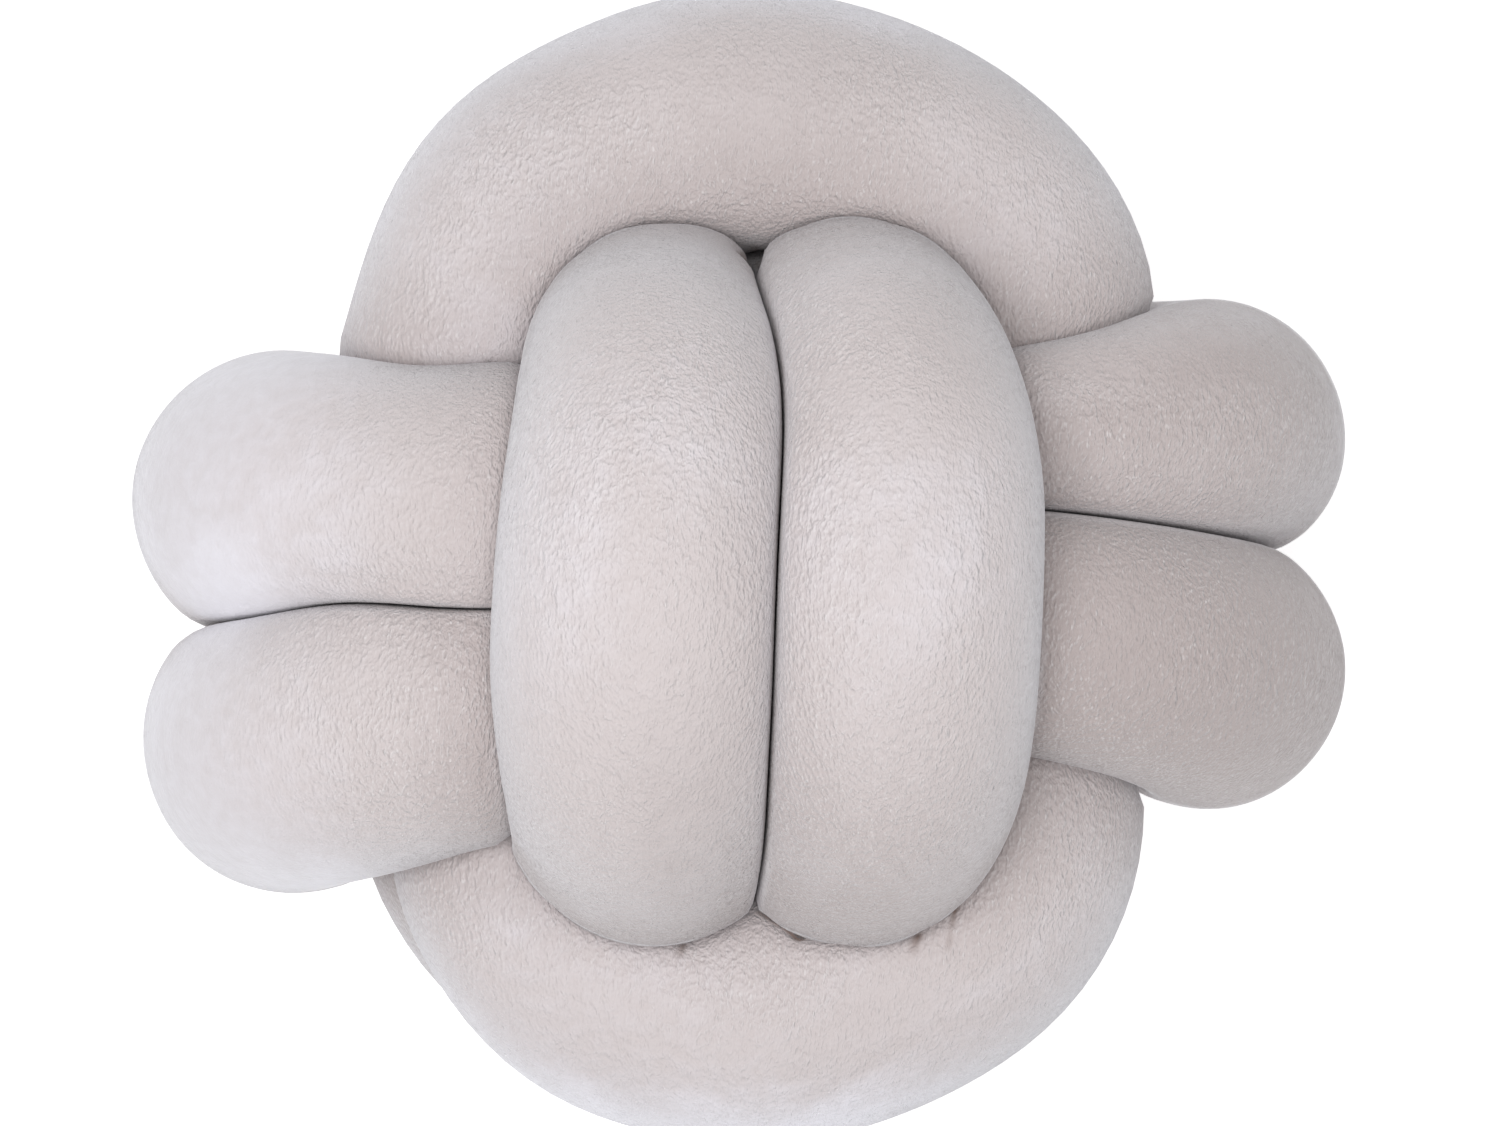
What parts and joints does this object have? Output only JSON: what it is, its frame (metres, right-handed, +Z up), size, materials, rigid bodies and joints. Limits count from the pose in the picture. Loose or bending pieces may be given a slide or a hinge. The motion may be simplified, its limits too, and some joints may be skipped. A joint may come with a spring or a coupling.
{
  "type": "knot cushion",
  "caption": "Round knot cushion worked from one long stuffed plush tube, with paired strands crossing over and under each other on every side.",
  "frame": {"origin": "bottom centre of the bounding box, on the floor that the cushion lies on", "axes": "+Z is up and faces out of the cushion's face, +X is the cushion's right side and +Y its head when it is seen from above; the cushion lies on its back"},
  "size_m": [0.2982, 0.2794, 0.275],
  "materials": {
    "plush": "short-pile plush, warm pale grey, cooler and lighter where the pile is brushed or seen edge-on"
  },
  "bodies": {
    "root": {"knot_tube": "plush"}
  },
  "joints": []
}
